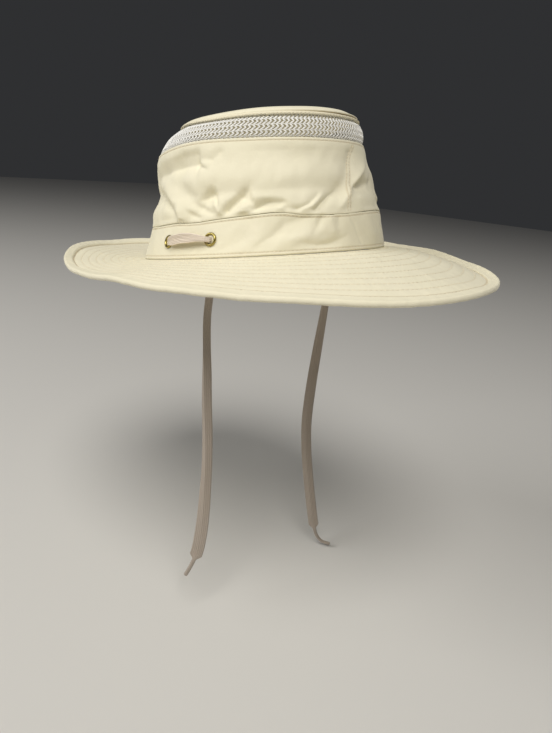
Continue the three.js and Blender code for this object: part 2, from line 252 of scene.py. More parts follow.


# Nylon and cotton canvas, woven plain and washed soft: matt, with a faint bloom at a low angle,
# small crinkles, and painted shade, a darker warmer tone, in the seam grooves, stitch rows and creases.
WAVE_SCALE = 0.314  # the wave texture's scale for bands 1 apart
THREAD_SPACING = 0.55  # mm, coarser than real canvas, so that it shows
canvas, tree, shader = new_material(
    "nylon_cotton_canvas",
    {
        "Roughness": 0.9,
        "IOR": 1.48,
        "Specular IOR Level": 0.25,
        "Sheen Weight": 0.18,
        "Sheen Roughness": 0.5,
    },
)
cloth_mm, place_mm = cloth_place(tree), in_mm(tree, object_place(tree))
weft, warp = (
    waves(tree, cloth_mm, k, THREAD_SPACING, Distortion=0.6, **{"Detail Scale": 0.5}) for k in "XY"
)
weave = add(tree, "ShaderNodeMath", {"operation": "MULTIPLY"}, {0: weft, 1: warp})
crinkles = bump(tree, noise(tree, place_mm, 0.22, 4.0, 0.55), 0.35, 0.0007)
threads = bump(tree, weave.outputs["Value"], 0.25, 0.00012, Normal=crinkles)
tree.links.new(threads, shader.inputs["Normal"])
mottle = noise(tree, place_mm, 0.035, 3.0)
cream = blend(tree, mottle, linear("#F2EBD3"), linear("#EAE4C9"))
# painted shade: the cream darkens towards tan where the attribute marks seam grooves, stitch rows and
# creases
seam_shaded = blend(tree, painted_shade_share(tree), cream, linear("#B3A07C"))
tree.links.new(seam_shaded, shader.inputs["Base Color"])

around = np.arange(BRIM_AROUND) * (360 / BRIM_AROUND)
rows_up = np.concatenate(
    [
        [-1.0, -0.5],
        np.arange(0, LAST_ROW, 1 / 7),
        LAST_ROW + np.array([0, 0.05, 0.11, 0.17, 0.26, 0.4, 0.55, 0.7, 0.8]),
    ]
)
bearings, row = np.meshgrid(around, rows_up, indexing="ij")
across = row_across(bearings, row)
swell = np.abs(np.sin(np.pi * row)) ** 0.6
swell[row < 0] *= 0.4
in_hem = np.clip((row - LAST_ROW) / 0.16, 0, 1)
swell = np.where(row > LAST_ROW, 4.2 * in_hem, swell)
flat = brim_point(bearings, across)
pucker = 0.07 * ripple(flat, 8, 11) * (0.4 + np.minimum(swell, 1))
sway = 0.5 * ripple(flat, 55, 12) * across
upper = flat.copy()
upper[..., 2] += QUILT * (swell - 1) + pucker + sway
lower = flat.copy()
lower[..., 2] -= BRIM_CLOTH + QUILT * (swell - 1) - pucker - sway
rim_middle = (upper[:, -1] + lower[:, -1]) / 2
rim_half = (upper[:, -1] - lower[:, -1]) / 2
edge = brim_point(around, np.ones(BRIM_AROUND))
edge[:, 2] = rim_middle[:, 2] + (edge[:, 2] - flat[:, -1, 2])
outwards = edge - rim_middle
turns = np.radians([65, 40, 15, -10, -35, -62])
rim = np.stack(
    [rim_middle + rim_half * math.sin(t) + outwards * math.cos(t) for t in turns], 1
)
brim_sections = np.concatenate([upper, rim, lower[:, ::-1]], 1)
# painted shade along the rows of stitches, darkest in the hem's inner groove, fainter on the underside
stitch_line = np.exp(-((row - np.round(row)) ** 2) / 0.06**2)
stitch_line[(row < -0.2) | (row > LAST_ROW + 0.1)] = 0
brim_shade = stitch_line * np.where(row > LAST_ROW - 0.4, 0.8, 0.16)
rim_painted_shade = np.zeros((BRIM_AROUND, len(turns)))
brim_painted_shade = np.concatenate([brim_shade, rim_painted_shade, 0.3 * stitch_line[:, ::-1]], 1)
brim = ring_piece("brim_cloth", brim_sections, brim_painted_shade, canvas)
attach(brim, "root")
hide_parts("brim")

# Lockstitch in polyester thread. Each stitch is a short smooth bead of thread lying on the
# cloth, and the next one starts a hole further along the row.
thread, tree, shader = new_material(
    "polyester_thread", {"Roughness": 0.55, "IOR": 1.5, "Sheen Weight": 0.15}
)
fibre = noise(tree, object_place(tree), 900.0, 2.0)
tone = blend(tree, fibre, linear("#F5ECD6"), linear("#DCCDA9"))
tree.links.new(tone, shader.inputs["Base Color"])


def new_group(name, inputs):
    """A Geometry Nodes tree with named inputs, and the sockets that they come in by."""
    nodes = bpy.data.node_groups.new(name, "GeometryNodeTree")
    for title, kind, value in inputs:
        kind = "NodeSocket" + kind
        socket = nodes.interface.new_socket(title, in_out="INPUT", socket_type=kind)
        if value is not None:
            socket.default_value = value
    nodes.interface.new_socket("Made", in_out="OUTPUT", socket_type="NodeSocketGeometry")
    return nodes, add(nodes, "NodeGroupInput", {}, {}).outputs


def end_group(nodes, geometry, finish):
    """Shades the tree's geometry smooth, gives it its material and puts it out."""
    smooth = add(nodes, "GeometryNodeSetShadeSmooth", {}, {"Geometry": geometry}).outputs[0]
    sockets = {"Geometry": smooth, "Material": finish}
    done = add(nodes, "GeometryNodeSetMaterial", {}, sockets).outputs[0]
    add(nodes, "NodeGroupOutput", {}, {0: done})


def stitch_tree():
    """Geometry Nodes that lay stitches along paths of edges. `out` on a point is the way up."""
    nodes, start = new_group(
        "stitches_along_seam",
        (
            ("Seam", "Geometry", None),
            ("Pitch", "Float", 0.003),
            ("Stitch length", "Float", 0.002),
            ("Thread", "Float", 0.0004),
            ("Finish", "Material", None),
        ),
    )
    line = add(nodes, "GeometryNodeMeshToCurve", {}, {"Mesh": start["Seam"]}).outputs[0]
    sockets = {"Curve": line, "Length": start["Pitch"]}
    spaced = add(nodes, "GeometryNodeResampleCurve", {"mode": "LENGTH"}, sockets).outputs[0]
    along = add(nodes, "GeometryNodeInputTangent", {}, {}).outputs[0]
    kind = {"data_type": "FLOAT_VECTOR"}
    way_up = add(nodes, "GeometryNodeInputNamedAttribute", kind, {"Name": "out"})
    axes = {"primary_axis": "Z", "secondary_axis": "X"}
    sockets = {0: way_up.outputs["Attribute"], 1: along}
    turn = add(nodes, "FunctionNodeAxesToRotation", axes, sockets).outputs[0]
    sockets = {"Segments": 6, "Rings": 5, "Radius": 0.5}
    bead = add(nodes, "GeometryNodeMeshUVSphere", {}, sockets).outputs["Mesh"]
    sockets = {"X": start["Stitch length"], "Y": start["Thread"], "Z": start["Thread"]}
    size = add(nodes, "ShaderNodeCombineXYZ", {}, sockets).outputs[0]
    shaped = add(nodes, "GeometryNodeTransform", {}, {"Geometry": bead, "Scale": size}).outputs[0]
    sockets = {"Points": spaced, "Instance": shaped, "Rotation": turn}
    sewn = add(nodes, "GeometryNodeInstanceOnPoints", {}, sockets).outputs[0]
    real = add(nodes, "GeometryNodeRealizeInstances", {}, {"Geometry": sewn}).outputs[0]
    end_group(nodes, real, start["Finish"])
    return nodes


def path_object(name, paths, closed):
    """An object of edges along paths, each a pair of points in mm and their ways up."""
    points, ways, edges = [], [], []
    for line, up in paths:
        first = len(points)
        points.extend((line * MM).tolist())
        ways.extend(up.tolist())
        count = len(line)
        edges.extend((first + k, first + k + 1) for k in range(count - 1))
        if closed:
            edges.append((first + count - 1, first))
    mesh = bpy.data.meshes.new(name)
    mesh.from_pydata(points, edges, [])
    out = mesh.attributes.new("out", "FLOAT_VECTOR", "POINT")
    out.data.foreach_set("vector", np.array(ways, float).ravel())
    return placed(name, mesh)


def grow(made, nodes, inputs):
    """Runs a Geometry Nodes tree on an object and keeps the result as its plain mesh."""
    modifier = made.modifiers.new("grow", "NODES")
    modifier.node_group = nodes
    for socket in nodes.interface.items_tree:
        if socket.name in inputs:
            modifier[socket.identifier] = inputs[socket.name]
    bpy.context.view_layer.update()
    shown = made.evaluated_get(bpy.context.evaluated_depsgraph_get())
    mesh = bpy.data.meshes.new_from_object(shown)
    made.modifiers.clear()
    made.data = mesh
    mesh.name = made.name
    return made


seam_stitches = stitch_tree()


def sew(name, paths, pitch, length, width, closed=True):
    """Lays stitches of that length and width in mm along paths, one at each pitch."""
    made = path_object(name, paths, closed)
    sizes = {"Pitch": pitch * MM, "Stitch length": length * MM, "Thread": width * MM}
    grow(made, seam_stitches, {**sizes, "Finish": thread})
    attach(made, "root")


def unit(vectors):
    """The same directions, with a length of 1."""
    return vectors / np.maximum(np.linalg.norm(vectors, axis=-1, keepdims=True), 1e-9)


def surface_ways(grid):
    """Unit normals of a closed ring of points, pointing away from the hat's middle or up."""
    along = np.roll(grid, -1, 0) - np.roll(grid, 1, 0)
    over = np.gradient(grid, axis=1)
    return unit(np.cross(along, over))


ways = surface_ways(upper)
if ways[..., 2].mean() < 0:
    ways = -ways
paths = []
for k in range(BRIM_ROWS):
    column = int(np.argmin(np.abs(rows_up - k)))
    line = upper[:, column] + 0.05 * ways[:, column]
    paths.append((worn(line), worn(ways[:, column])))
sew("brim_stitches", paths, pitch=3.2, length=2.3, width=0.42)

# ---------------------------------------------------------------------------------------------
# Hat band. A folded strip of the same canvas round the foot of the crown, topstitched along
# both edges. It hangs in soft slanting folds. The eyelets go through it with no hole cut.
CROWN = np.array(
    [  # height, half length, half width, forward, rise per mm forward
        [0, 100.8, 84.8, 0, 0],
        [23.4, 95.5, 77.7, 3.4, 0],
        [75, 83.4, 68.5, 3, -0.05],
        [89, 72, 59.5, 12.5, -0.05],
        [94, 67, 55.5, 14.5, -0.055],
    ]
)
VENT_FOOT = 75.0
VENT_TOP = 89.0
TIP_EDGE = 94.0
EYELET_UP = 12.1
EYELET_HOLE = 2.9
EYELETS = {
    "eyelet_right_front": 77,
    "eyelet_right_rear": 101,
    "eyelet_left_front": -77,
    "eyelet_left_rear": -101,
}

# by bearing, how far each seam of the vent rises over the crown's plain rows
FOOT_LIFT = [2.0, 2.3, 2.5, 2.9, -0.4, -3.0, -3.4, -3.0, -0.4, 3.0, 2.4, 1.8]
HEAD_LIFT = [1.4, 1.7, 1.7, 1.2, 2.4, 2.0, 0.8, 0.6, 1.0, 1.1, 1.6, 1.4]


def crown_point(bearing, up, out):
    """A point on the crown's outer face, moved out from it. Both seams of the vent wave."""
    bearing, up, out = np.broadcast_arrays(
        *(np.asarray(k, float) for k in (bearing, up, out))
    )
    half_length, half_width, forward, pitch = (
        np.interp(up, CROWN[:, 0], CROWN[:, k]) for k in (1, 2, 3, 4)
    )
    x, y = oval(half_length, half_width, forward, bearing, out)
    low = np.clip((up - 42) / 33, 0, 1) ** 1.5 * np.clip((VENT_TOP - up) / 14, 0, 1)
    high = np.clip((up - VENT_FOOT) / 14, 0, 1)
    lift = low * smooth_loop(FOOT_LIFT, bearing) + high * smooth_loop(HEAD_LIFT, bearing)
    return np.stack([x, y, up + lift + pitch * (-y - forward)], -1)


turned = np.arange(-360, 361, 1.0)
steps = np.linalg.norm(np.diff(crown_point(turned, 48.0, 0.0), axis=0), axis=1)
arc_length = np.concatenate([[0], np.cumsum(steps)])
arc_length -= arc_length[360]


def half_turn(bearing):
    """The same bearing, between -180 and 180."""
    return np.mod(bearing + 180, 360) - 180


def arc(bearing):
    """How far round the crown a bearing lies, in mm from the front."""
    return np.interp(bearing, turned, arc_length)


ROUND = arc_length[-1]


def fold(bearing, up, path, lean=0.0, sharp=2.0, ends=None):
    """How far a crease or ridge moves the cloth. Its path has rows of bearing, height, depth
    and width. lean widens its left side and narrows its right, and sharp 1 gives a keen line."""
    rows = np.array(path, float)
    line = np.stack([arc(rows[:, 0]), rows[:, 1]], 1)
    x = arc(half_turn(bearing))
    x = x - ROUND * np.round((x - line[0, 0]) / ROUND)
    best = np.full(x.shape, 1e9)
    result = np.zeros(x.shape)
    last = len(line) - 2
    for k in range(last + 1):
        (x0, y0), (x1, y1) = line[k], line[k + 1]
        dx, dy = x1 - x0, y1 - y0
        length = math.hypot(dx, dy)
        t = ((x - x0) * dx + (up - y0) * dy) / length**2
        held = np.clip(t, 0, 1)
        depth = rows[k, 2] + (rows[k + 1, 2] - rows[k, 2]) * held
        wide = rows[k, 3] + (rows[k + 1, 3] - rows[k, 3]) * held
        side = ((x - x0) * dy - (up - y0) * dx) / length
        past = np.maximum(np.where(k == 0, -t, 0), np.where(k == last, t - 1, 0))
        beyond = np.maximum(-t, t - 1).clip(0) * length
        end_wide = wide if ends is None else np.where(t < 0, ends[0], ends[1])
        reach = wide * (1 - lean * np.sign(side))
        far = np.hypot(side / reach, np.where(past > 0, beyond / end_wide, beyond / wide))
        value = depth * np.exp(-(far**sharp))
        near = far < best
        best = np.where(near, far, best)
        result = np.where(near, value, result)
    return result


BAND_FOLDS = [
    (
        [(57, 6, -0.6, 3), (51, 12, -1.5, 4), (46, 17, -2.0, 4.5), (36, 21, -1.4, 4)],
        {"lean": 0.3, "sharp": 1.5},
    ),
    (
        [(38, 7, -0.7, 3), (31, 4.6, -1.6, 3.2), (25, 5.6, -1.8, 3.2), (18, 9, -0.7, 3)],
        {"lean": 0.2, "sharp": 1.5},
    ),
    ([(47, 8, 0.7, 4), (37, 11, 1.2, 4), (30, 15, 0.8, 4)], {}),
    ([(29, 23, -1.5, 2.4), (31, 17, -1.7, 2.6), (34, 12, -0.6, 3)], {"sharp": 1.4}),
    ([(25, 22, 0.9, 3), (24, 14, 1.0, 4)], {}),
    ([(21, 20, -0.8, 2.5), (22, 12, -0.5, 4)], {"sharp": 1.5}),
    ([(62, 22, -0.6, 4), (55, 14, -0.6, 5)], {}),
    ([(71, 5, -0.5, 4), (62, 12, -0.6, 5)], {}),
    ([(15.5, 22.1, -0.4, 1.1), (12, 16, -0.45, 1.1), (7, 2, -0.4, 1.1)], {}),
    ([(2, 20, 0.5, 4), (-4, 10, 0.4, 5)], {}),
    ([(-30, 22, -1.3, 4), (-38, 12, -1.0, 4)], {"sharp": 1.5}),
    ([(-50, 6, -1.0, 4), (-42, 14, -1.2, 4)], {"sharp": 1.5}),
    ([(120, 22, -0.8, 4), (128, 10, -0.8, 5)], {}),
    ([(150, 20, -1.0, 5), (144, 8, -0.8, 4)], {"sharp": 1.5}),
    ([(-125, 21, -0.9, 4), (-133, 9, -0.8, 5)], {}),
    ([(-160, 21, -0.8, 4), (-152, 8, -0.9, 5)], {}),
    ([(178, 22, -0.35, 1.1), (179, 2, -0.35, 1.1)], {}),
]
BAND_AROUND = 560
BAND_SWAY = np.array(
    [  # bearing, how far the band's head wanders up or down
        [-180, 0.8], [-150, 1.6], [-120, 0.4], [-95, 1.8], [-70, 0.6], [-40, 2.4],
        [-13, 4.2], [3, 3.2], [15, 1.8], [26, 1.6], [34, 2.0], [39, 2.6], [46, 4.4],
        [52, 4.8], [58, 4.2], [65, 3.5], [76, 2.5], [84, 1.5], [90, 1.4], [97, 2.2],
        [115, 1.2], [150, 1.6], [180, 0.8],
    ]
)


def swayed(bearing, up):
    """The height of a place near the band's head, once the head wanders."""
    wander = np.interp(half_turn(bearing), *BAND_SWAY.T)
    return up + wander * np.clip((up - 13) / 9, 0, 1) * np.clip((40 - up) / 15, 0, 1)


def folded(bearing, up, folds):
    return sum(fold(bearing, up, path, **how) for path, how in folds)


def shell_sections(outer, thickness, round_steps=3):
    """Closes a wall behind its outer face, with rounded folds at both edges."""
    ways = surface_ways(outer)
    middle = outer[..., :2].mean((0, 1))
    if ((outer[..., :2] - middle) * ways[..., :2]).sum(-1).mean() < 0:
        ways = -ways
    inner = outer - ways * thickness
    turns = np.linspace(0, np.pi, round_steps + 2)[1:-1]

    def edge(at, beside):
        centre = (outer[:, at] + inner[:, at]) / 2
        half = (outer[:, at] - inner[:, at]) / 2
        over = unit(outer[:, at] - outer[:, beside])
        return np.stack(
            [
                centre + half * math.cos(t) + over * (thickness / 2) * math.sin(t)
                for t in turns
            ],
            1,
        )

    top = edge(-1, -2)
    foot = edge(0, 1)[:, ::-1]
    return np.concatenate([outer, top, inner[:, inner_rows(inner)], foot], 1), ways


def inner_rows(inner):
    """The lining side keeps every third row, from the head down to the foot."""
    return np.append(np.arange(inner.shape[1] - 1, 0, -3), 0)


# painted shade for a shell: only its outer face gets any
def shell_painted_shade(painted_shade, round_steps=3):
    edges = np.zeros((len(painted_shade), round_steps))
    return np.concatenate([painted_shade, edges, 0 * painted_shade[:, inner_rows(painted_shade)], edges], 1)


around = np.arange(BAND_AROUND) * (360 / BAND_AROUND)
foot_rows, head_rows = [0.9, 1.2, 1.5, 1.8, 2.1, 2.4, 2.8], [20.0, 20.3, 20.6, 20.9, 21.1, 21.3]
rows_up = np.concatenate([foot_rows, np.arange(3.4, 20, 0.7), head_rows])
bearings, up = np.meshgrid(around, rows_up, indexing="ij")
soft = np.clip((up - 1.5) / 3, 0, 1) * np.clip((22.5 - up) / 2, 0.25, 1)
base = crown_point(bearings, up, 0)
near_eyelet = sum(
    np.exp(-(((arc(half_turn(bearings - k)) / 9) ** 2 + ((up - EYELET_UP) / 9) ** 2) ** 2))
    for k in EYELETS.values()
)
out = folded(bearings, up, BAND_FOLDS) * soft * (1 - np.clip(near_eyelet, 0, 1))
out += 0.18 * ripple(base, 16, 21) * soft + 0.05 * ripple(base, 5, 22)
foot_row, head_row = 2.4, 20.9
seam = np.exp(-(((up - foot_row) / 0.35) ** 2)) + np.exp(
    -(((up - head_row) / 0.35) ** 2)
)
out -= 0.28 * seam
out += np.interp(up, [0, 16, 21.3], [0.12, 0.12, 0.0])
band_outer = crown_point(bearings, swayed(bearings, up), out)
sections, ways = shell_sections(band_outer, BAND_CLOTH)
# painted shade in the grooves of the band's two stitch rows
band = ring_piece("band_cloth", sections, shell_painted_shade(0.5 * seam), canvas)
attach(band, "root")
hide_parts("hat_band")


def seam_path(grid, ways, rows_up, height, lift=0.1):
    column = int(np.argmin(np.abs(rows_up - height)))
    return (
        worn(grid[:, column] + lift * ways[:, column]),
        worn(ways[:, column]),
    )


paths = [seam_path(band_outer, ways, rows_up, k) for k in (foot_row, head_row)]
sew("band_stitches", paths, pitch=2.7, length=1.9, width=0.5)

# ---------------------------------------------------------------------------------------------
# Crown side. One ring of canvas from the band to the net, joined at the front by a double
# stitched seam. Worn soft, it buckles into sharp dents and hangs over the band in puckers.
CLOTH = 1.4
SIDE_AROUND = 780
SIDE_FOLDS = [
    # the notch behind, running down to the band as a crease with a ridge over it
    (
        [(156, 45, -2.5, 9), (132, 47.5, -5.2, 8), (119, 45.5, -4.8, 6), (110, 41, -3.4, 4),
         (103, 34, -1.8, 3), (97, 26, -0.4, 2.5)],
        {"sharp": 1.5},
    ),
    ([(120, 49, 0.8, 5), (107, 43, 2, 5), (98, 37, 2.2, 5), (95.5, 26, 2, 4)], {"sharp": 1.6}),
    # the overhang under the net, and the sharp buckle where it ends
    (
        [(86.5, 60.5, -4.5, 7), (100, 60, -4.5, 7), (115, 59, -4, 7), (128, 58, -2.5, 8)],
        {"sharp": 1.2, "lean": 0.2, "ends": (2, 10)},
    ),
    ([(85.5, 60, -2, 1.8), (83, 58.3, -1.6, 1.7), (80.5, 57, -0.8, 1.5)], {"sharp": 1.2}),
    ([(84.5, 61.5, 0.8, 1.8), (80, 60.5, 0.8, 2.2)], {}),
    ([(84, 63, -1, 2.5), (78, 62.5, -1.6, 3), (74, 66, -1.2, 4)], {"sharp": 1.5}),
    ([(138, 64, 1.2, 8), (124, 66, 1.5, 6), (100, 69, 1, 4)], {}),
    ([(107, 51.5, -1.2, 5), (98, 48.5, -2.2, 5.5), (91, 43, -2, 5), (88, 38, -1.6, 5)], {}),
    # pleats standing on the band, with hollows between them
    ([(76, 47, -1, 4), (77.5, 42, -3, 4.5), (81, 38.5, -2.5, 4), (85, 37, -1, 4)], {"sharp": 1.6}),
    ([(78.5, 27.5, -1, 2.2), (83, 31.5, -1.6, 2.4), (87.5, 35.5, -0.8, 2.5)], {}),
    ([(84.5, 24.5, -1, 2.2), (88.5, 28, -1.2, 2.2), (91, 30.5, -0.6, 2)], {}),
    (
        [(77.5, 37, 0.8, 1.6), (76, 33, 2.4, 2.2), (74, 28, 2.8, 2.6), (73, 24.5, 2, 3)],
        {"sharp": 1.6},
    ),
    (
        [(60, 45, -1, 3.5), (64, 38, -3.5, 4), (68, 32, -3.2, 3.5), (71, 27, -2.6, 2.8),
         (72, 24.5, -1.6, 2.4)],
        {"sharp": 1.6},
    ),
    ([(63.5, 32.5, 0.8, 2.5), (63.2, 28.5, 2.6, 3.5), (63.5, 24.5, 2.4, 5)], {"sharp": 1.8}),
    ([(58, 26, -2, 2.8), (53, 30.5, -2, 4), (47, 31, -1, 3.5)], {"sharp": 1.6}),
    ([(47.5, 24.5, 1.6, 2.8), (46, 27.5, 0.8, 2)], {}),
    (
        [(19, 40, -1.6, 3), (24, 36, -3.2, 3), (29, 30.5, -3, 2.6), (32.5, 25.5, -2.4, 2.2)],
        {"sharp": 1.3},
    ),
    ([(28, 37, 0.8, 2.5), (33.5, 29.5, 1.6, 2.5), (38.5, 25.5, 1.2, 2.2)], {"sharp": 1.5}),
    ([(30, 37.5, -0.8, 2), (35, 30.5, -2, 2), (40.5, 25.5, -1.6, 2)], {"sharp": 1.4}),
    (
        [(2, 70, -1, 4), (6, 60, -1.8, 5), (11, 50, -2.2, 6), (15.5, 42, -2.6, 6),
         (19, 38, -1.6, 5)],
        {"sharp": 1.6},
    ),
    (
        [(-10, 60, 0.8, 3.5), (0, 52, 1.8, 3), (10, 42, 2, 3), (14, 36, 1.6, 3), (19, 28, 1, 3)],
        {"sharp": 1.5},
    ),
    ([(-14, 47, -2.2, 6), (-4, 45, -3, 5), (6, 42.5, -2, 4)], {"sharp": 1.5}),
    ([(30, 66, -0.5, 5), (40, 60, -1, 6), (50, 53.5, -1, 6), (56, 50, -0.5, 6)], {}),
    ([(38, 70, -0.3, 4), (46, 66, -0.6, 5), (52, 63, -0.3, 5)], {}),
    # the wearer's left
    ([(-20, 36, -1.8, 5), (-28, 30, -2.4, 4), (-34, 25, -1.4, 3)], {"sharp": 1.4}),
    ([(-40, 25, -2.0, 4), (-46, 33, -2.6, 5), (-54, 37, -1.6, 6)], {"sharp": 1.5}),
    ([(-49, 27, 1.8, 5), (-56, 26, 1.2, 5)], {}),
    ([(-60, 25, -1.8, 4), (-66, 34, -2.6, 6), (-76, 42, -2.0, 7)], {"sharp": 1.5}),
    ([(-82, 25, -1.8, 4), (-86, 34, -2.4, 5), (-82, 44, -1.8, 6)], {}),
    (
        [(-60, 60, -0.8, 5), (-78, 57, -2.6, 8), (-98, 55, -3.4, 9), (-118, 50, -2.6, 9)],
        {"sharp": 1.4, "lean": -0.2},
    ),
    ([(-73, 25, 1.6, 5), (-75, 33, 1.4, 4)], {}),
    ([(-98, 26, -1.4, 4), (-108, 35, -2.4, 5), (-122, 43, -1.6, 7)], {"sharp": 1.5}),
    # behind
    ([(168, 25, -1.6, 4), (160, 33, -2.4, 5), (148, 38, -1.4, 6)], {"sharp": 1.5}),
    ([(-172, 26, -1.6, 4), (-165, 34, -2.2, 5)], {}),
    ([(-140, 25, -1.6, 4), (-134, 34, -2.4, 5), (-124, 40, -1.2, 6)], {"sharp": 1.5}),
]
around = np.arange(SIDE_AROUND) * (360 / SIDE_AROUND)
foot_rows = [19.6, 21.4, 22.2, 22.32, 22.42, 22.65, 23.1, 23.9]
rows_up = np.concatenate([foot_rows, np.arange(24.7, 70.5, 0.75), np.arange(70.7, 73.8, 0.28)])
bearings, up = np.meshgrid(around, rows_up, indexing="ij")


def ease(value, low, high):
    """A smooth step from 0 to 1 between two values."""
    share = np.clip((value - low) / (high - low), 0, 1)
    return share * share * (3 - 2 * share)


FRONT_SEAM = [(24, 14.5), (32.5, 13.5), (45.5, 10.4), (59, 6.3), (69, 1.3), (75, -1)]  # up, bearing
BACK_SEAM = 178  # the bearing
BESIDE_SEAM = 1.1  # from a seam to each of its two rows of stitches
OVERHANG = np.array(
    [  # bearing, how far the crown hangs out over the band, and round what height
        [-180, 1.4, 30], [-150, 1.8, 33], [-130, 2.4, 36], [-122, 2.6, 29], [-104, 2.8, 38],
        [-96, 2.8, 30], [-74, 3.2, 40], [-66, 3.2, 30], [-50, 2.8, 36], [-44, 2.6, 29],
        [-20, 1.6, 32], [-5, 1.0, 30], [12, 0.8, 28], [28, 1.0, 26], [38, 1.6, 26],
        [43, 2.4, 27], [46, 2.8, 31], [52, 3.2, 32], [58, 3.4, 33], [60.5, 3.5, 39],
        [63, 3.5, 39], [66, 3.5, 36], [69, 3.5, 32], [72, 3.5, 29], [73.8, 3.5, 31],
        [75.5, 3.5, 40], [79, 3.5, 41], [83, 3.4, 37], [87, 3.0, 32], [91, 2.4, 27],
        [97, 1.8, 26], [115, 1.2, 28], [150, 1.0, 30], [180, 1.4, 30],
    ]
)
WAIST = [  # bearing, height and depth of the hollow round the crown's middle
    (-180, 40.2, -2.4), (-120, 42, -1.2), (-60, 43, -1.2), (-4, 43.1, -2.9), (176, 40, -2.4),
    (180, 40.2, -2.4),
]
UPPER_WAIST = [  # the same for the hollow under the net
    (-180, 60.1, -1.8), (-120, 60.5, -0.9), (-60, 61, -0.9), (-4, 61, -1.9), (176, 60, -1.8),
    (180, 60.1, -1.8),
]
here = half_turn(bearings)
hang = np.interp(here, OVERHANG[:, 0], OVERHANG[:, 1])
start = np.interp(here, OVERHANG[:, 0], OVERHANG[:, 2])
out = np.interp(up, [19.4, 22.2, 22.32, 22.42, 23.0, 25], [-2.7, -2.5, -0.9, -0.05, 0.2, 0.35])
out = out + hang * ease(up, start - 6, start + 6) * (1 - ease(up, 50, 75))
out = out + 0.4 * ease(up, 25, 40) - 0.7 * ease(up, 60, 75)
soft = ease(up, 22.6, 26.0) * (1 - ease(up, 66, 72.5))
base = crown_point(bearings, up, 0)
out = out + folded(bearings, up, SIDE_FOLDS) * soft
for waist, wide, sharp in ((WAIST, 9.0, 1.6), (UPPER_WAIST, 7.8, 2.0)):
    at, height, depth = np.array(waist).T
    off = np.abs(up - np.interp(here, at, height)) / wide
    out += np.interp(here, at, depth) * np.exp(-(off**sharp)) * soft
out += (0.35 * ripple(base, 30, 31) + 0.12 * ripple(base, 9, 32)) * soft
tucked = np.clip((22.5 - up) / 2, 0.25, 1) * (1 - ease(up, 22.1, 25))
out += folded(bearings, up, BAND_FOLDS) * tucked
from_seam = arc(half_turn(bearings - np.interp(up, *np.array(FRONT_SEAM).T)))
back_seam = arc(half_turn(bearings - BACK_SEAM))
head_row = 72.6
double = np.exp(-(((np.abs(from_seam) - BESIDE_SEAM) / 0.5) ** 2))
double += np.exp(-(((np.abs(back_seam) - BESIDE_SEAM) / 0.5) ** 2))
above = np.exp(-(((up - head_row) / 0.35) ** 2))
out += 0.35 * np.exp(-((from_seam / 1.8) ** 4)) * soft
out -= 0.25 * double * soft + 0.25 * above
out += 0.12 * ripple(base, 4.5, 33) * np.exp(-((from_seam / 5) ** 2))
side_outer = crown_point(bearings, swayed(bearings, up), out)
sections, ways = shell_sections(side_outer, CLOTH)
# painted shade in the grooves beside both seams and along the head row
painted_shade = np.clip(0.45 * double * (up > 24.5) * (up < 72) + 0.5 * above, 0, 1)
side = ring_piece("crown_side_cloth", sections, shell_painted_shade(painted_shade), canvas)
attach(side, "root")
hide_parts("crown_side")

paths = [seam_path(side_outer, ways, rows_up, head_row)]
sew("crown_head_stitches", paths, pitch=2.6, length=1.9, width=0.45)


def upright_path(shift, middle, grid, ways):
    """A seam path that climbs the crown, from its band to its net."""
    points, normals = [], []
    for j in range(9, grid.shape[1] - 12):
        at = middle[j] + shift / (arc(1.0) - arc(0.0))
        i = int(round(at / 360 * len(grid))) % len(grid)
        points.append(grid[i, j] + 0.1 * ways[i, j])
        normals.append(ways[i, j])
    return worn(np.array(points)), worn(np.array(normals))


front_seam = np.interp(rows_up, *np.array(FRONT_SEAM).T)
paths = [
    upright_path(shift, middle, side_outer, ways)
    for middle in (front_seam, np.full(len(rows_up), float(BACK_SEAM)))
    for shift in (-BESIDE_SEAM, BESIDE_SEAM)
]
sew("crown_seam_stitches", paths, pitch=2.6, length=1.9, width=0.4, closed=False)

# ---------------------------------------------------------------------------------------------
# Vent. A ring of white polyester net between the crown side and the tip, knitted in columns
# of two yarns that zigzag together and are linked at every second turn.
NET_AROUND = 152
NET_YARN = 0.29
ZIG = 0.33  # how far a column turns aside, and the next three, in columns
YARN_BESIDE = 0.12
LINK_AT = 0.31
LINK = np.array([0.15, 0.5, 0.85])  # where a link starts, is halfway and ends
SLANT = 0.35  # mm that a link climbs from one column to the next
LINK_BEHIND = 0.15  # mm
net, tree, shader = new_material(
    "polyester_net", {"Roughness": 0.5, "IOR": 1.55, "Sheen Weight": 0.2}
)
knit = noise(tree, object_place(tree), 1400.0, 2.0)
tone = blend(tree, knit, linear("#FFFFFD"), linear("#F0EEE9"))
tree.links.new(tone, shader.inputs["Base Color"])
tree.links.new(bump(tree, knit, 0.4, 0.0001), shader.inputs["Normal"])

# up, how far the net lies outside the crown's plain rows
NET_OUT = [(70, -2.2), (74.4, -2.0), (75.8, -0.9), (86.4, -0.8), (88.0, -2.4), (90.2, -2.9)]
# by bearing, the share by which the net's head and the tip draw in, and how far the net bulges
TIP_BEHIND = [0, 0, 0, 0.25, 0.9, 1, 1, 1, 0.9, 0.25, 0, 0]
NET_BULGE = [1.4, 1.0, 0.8, 1.0, 1.6, 1.4, 1.0, 1.2, 1.4, 1.2, 1.4, 2.0]


def net_point(bearing, up, lift=0.0):
    out = np.interp(up, *np.array(NET_OUT).T) + lift
    out = out - 2.3 * smooth_loop(TIP_BEHIND, bearing) * np.clip((up - 83) / 4, 0, 1)
    between = np.clip((up - VENT_FOOT) / (VENT_TOP - VENT_FOOT), 0, 1)
    out = out + smooth_loop(NET_BULGE, bearing) * np.sin(np.pi * between)
    return crown_point(bearing, up, out)


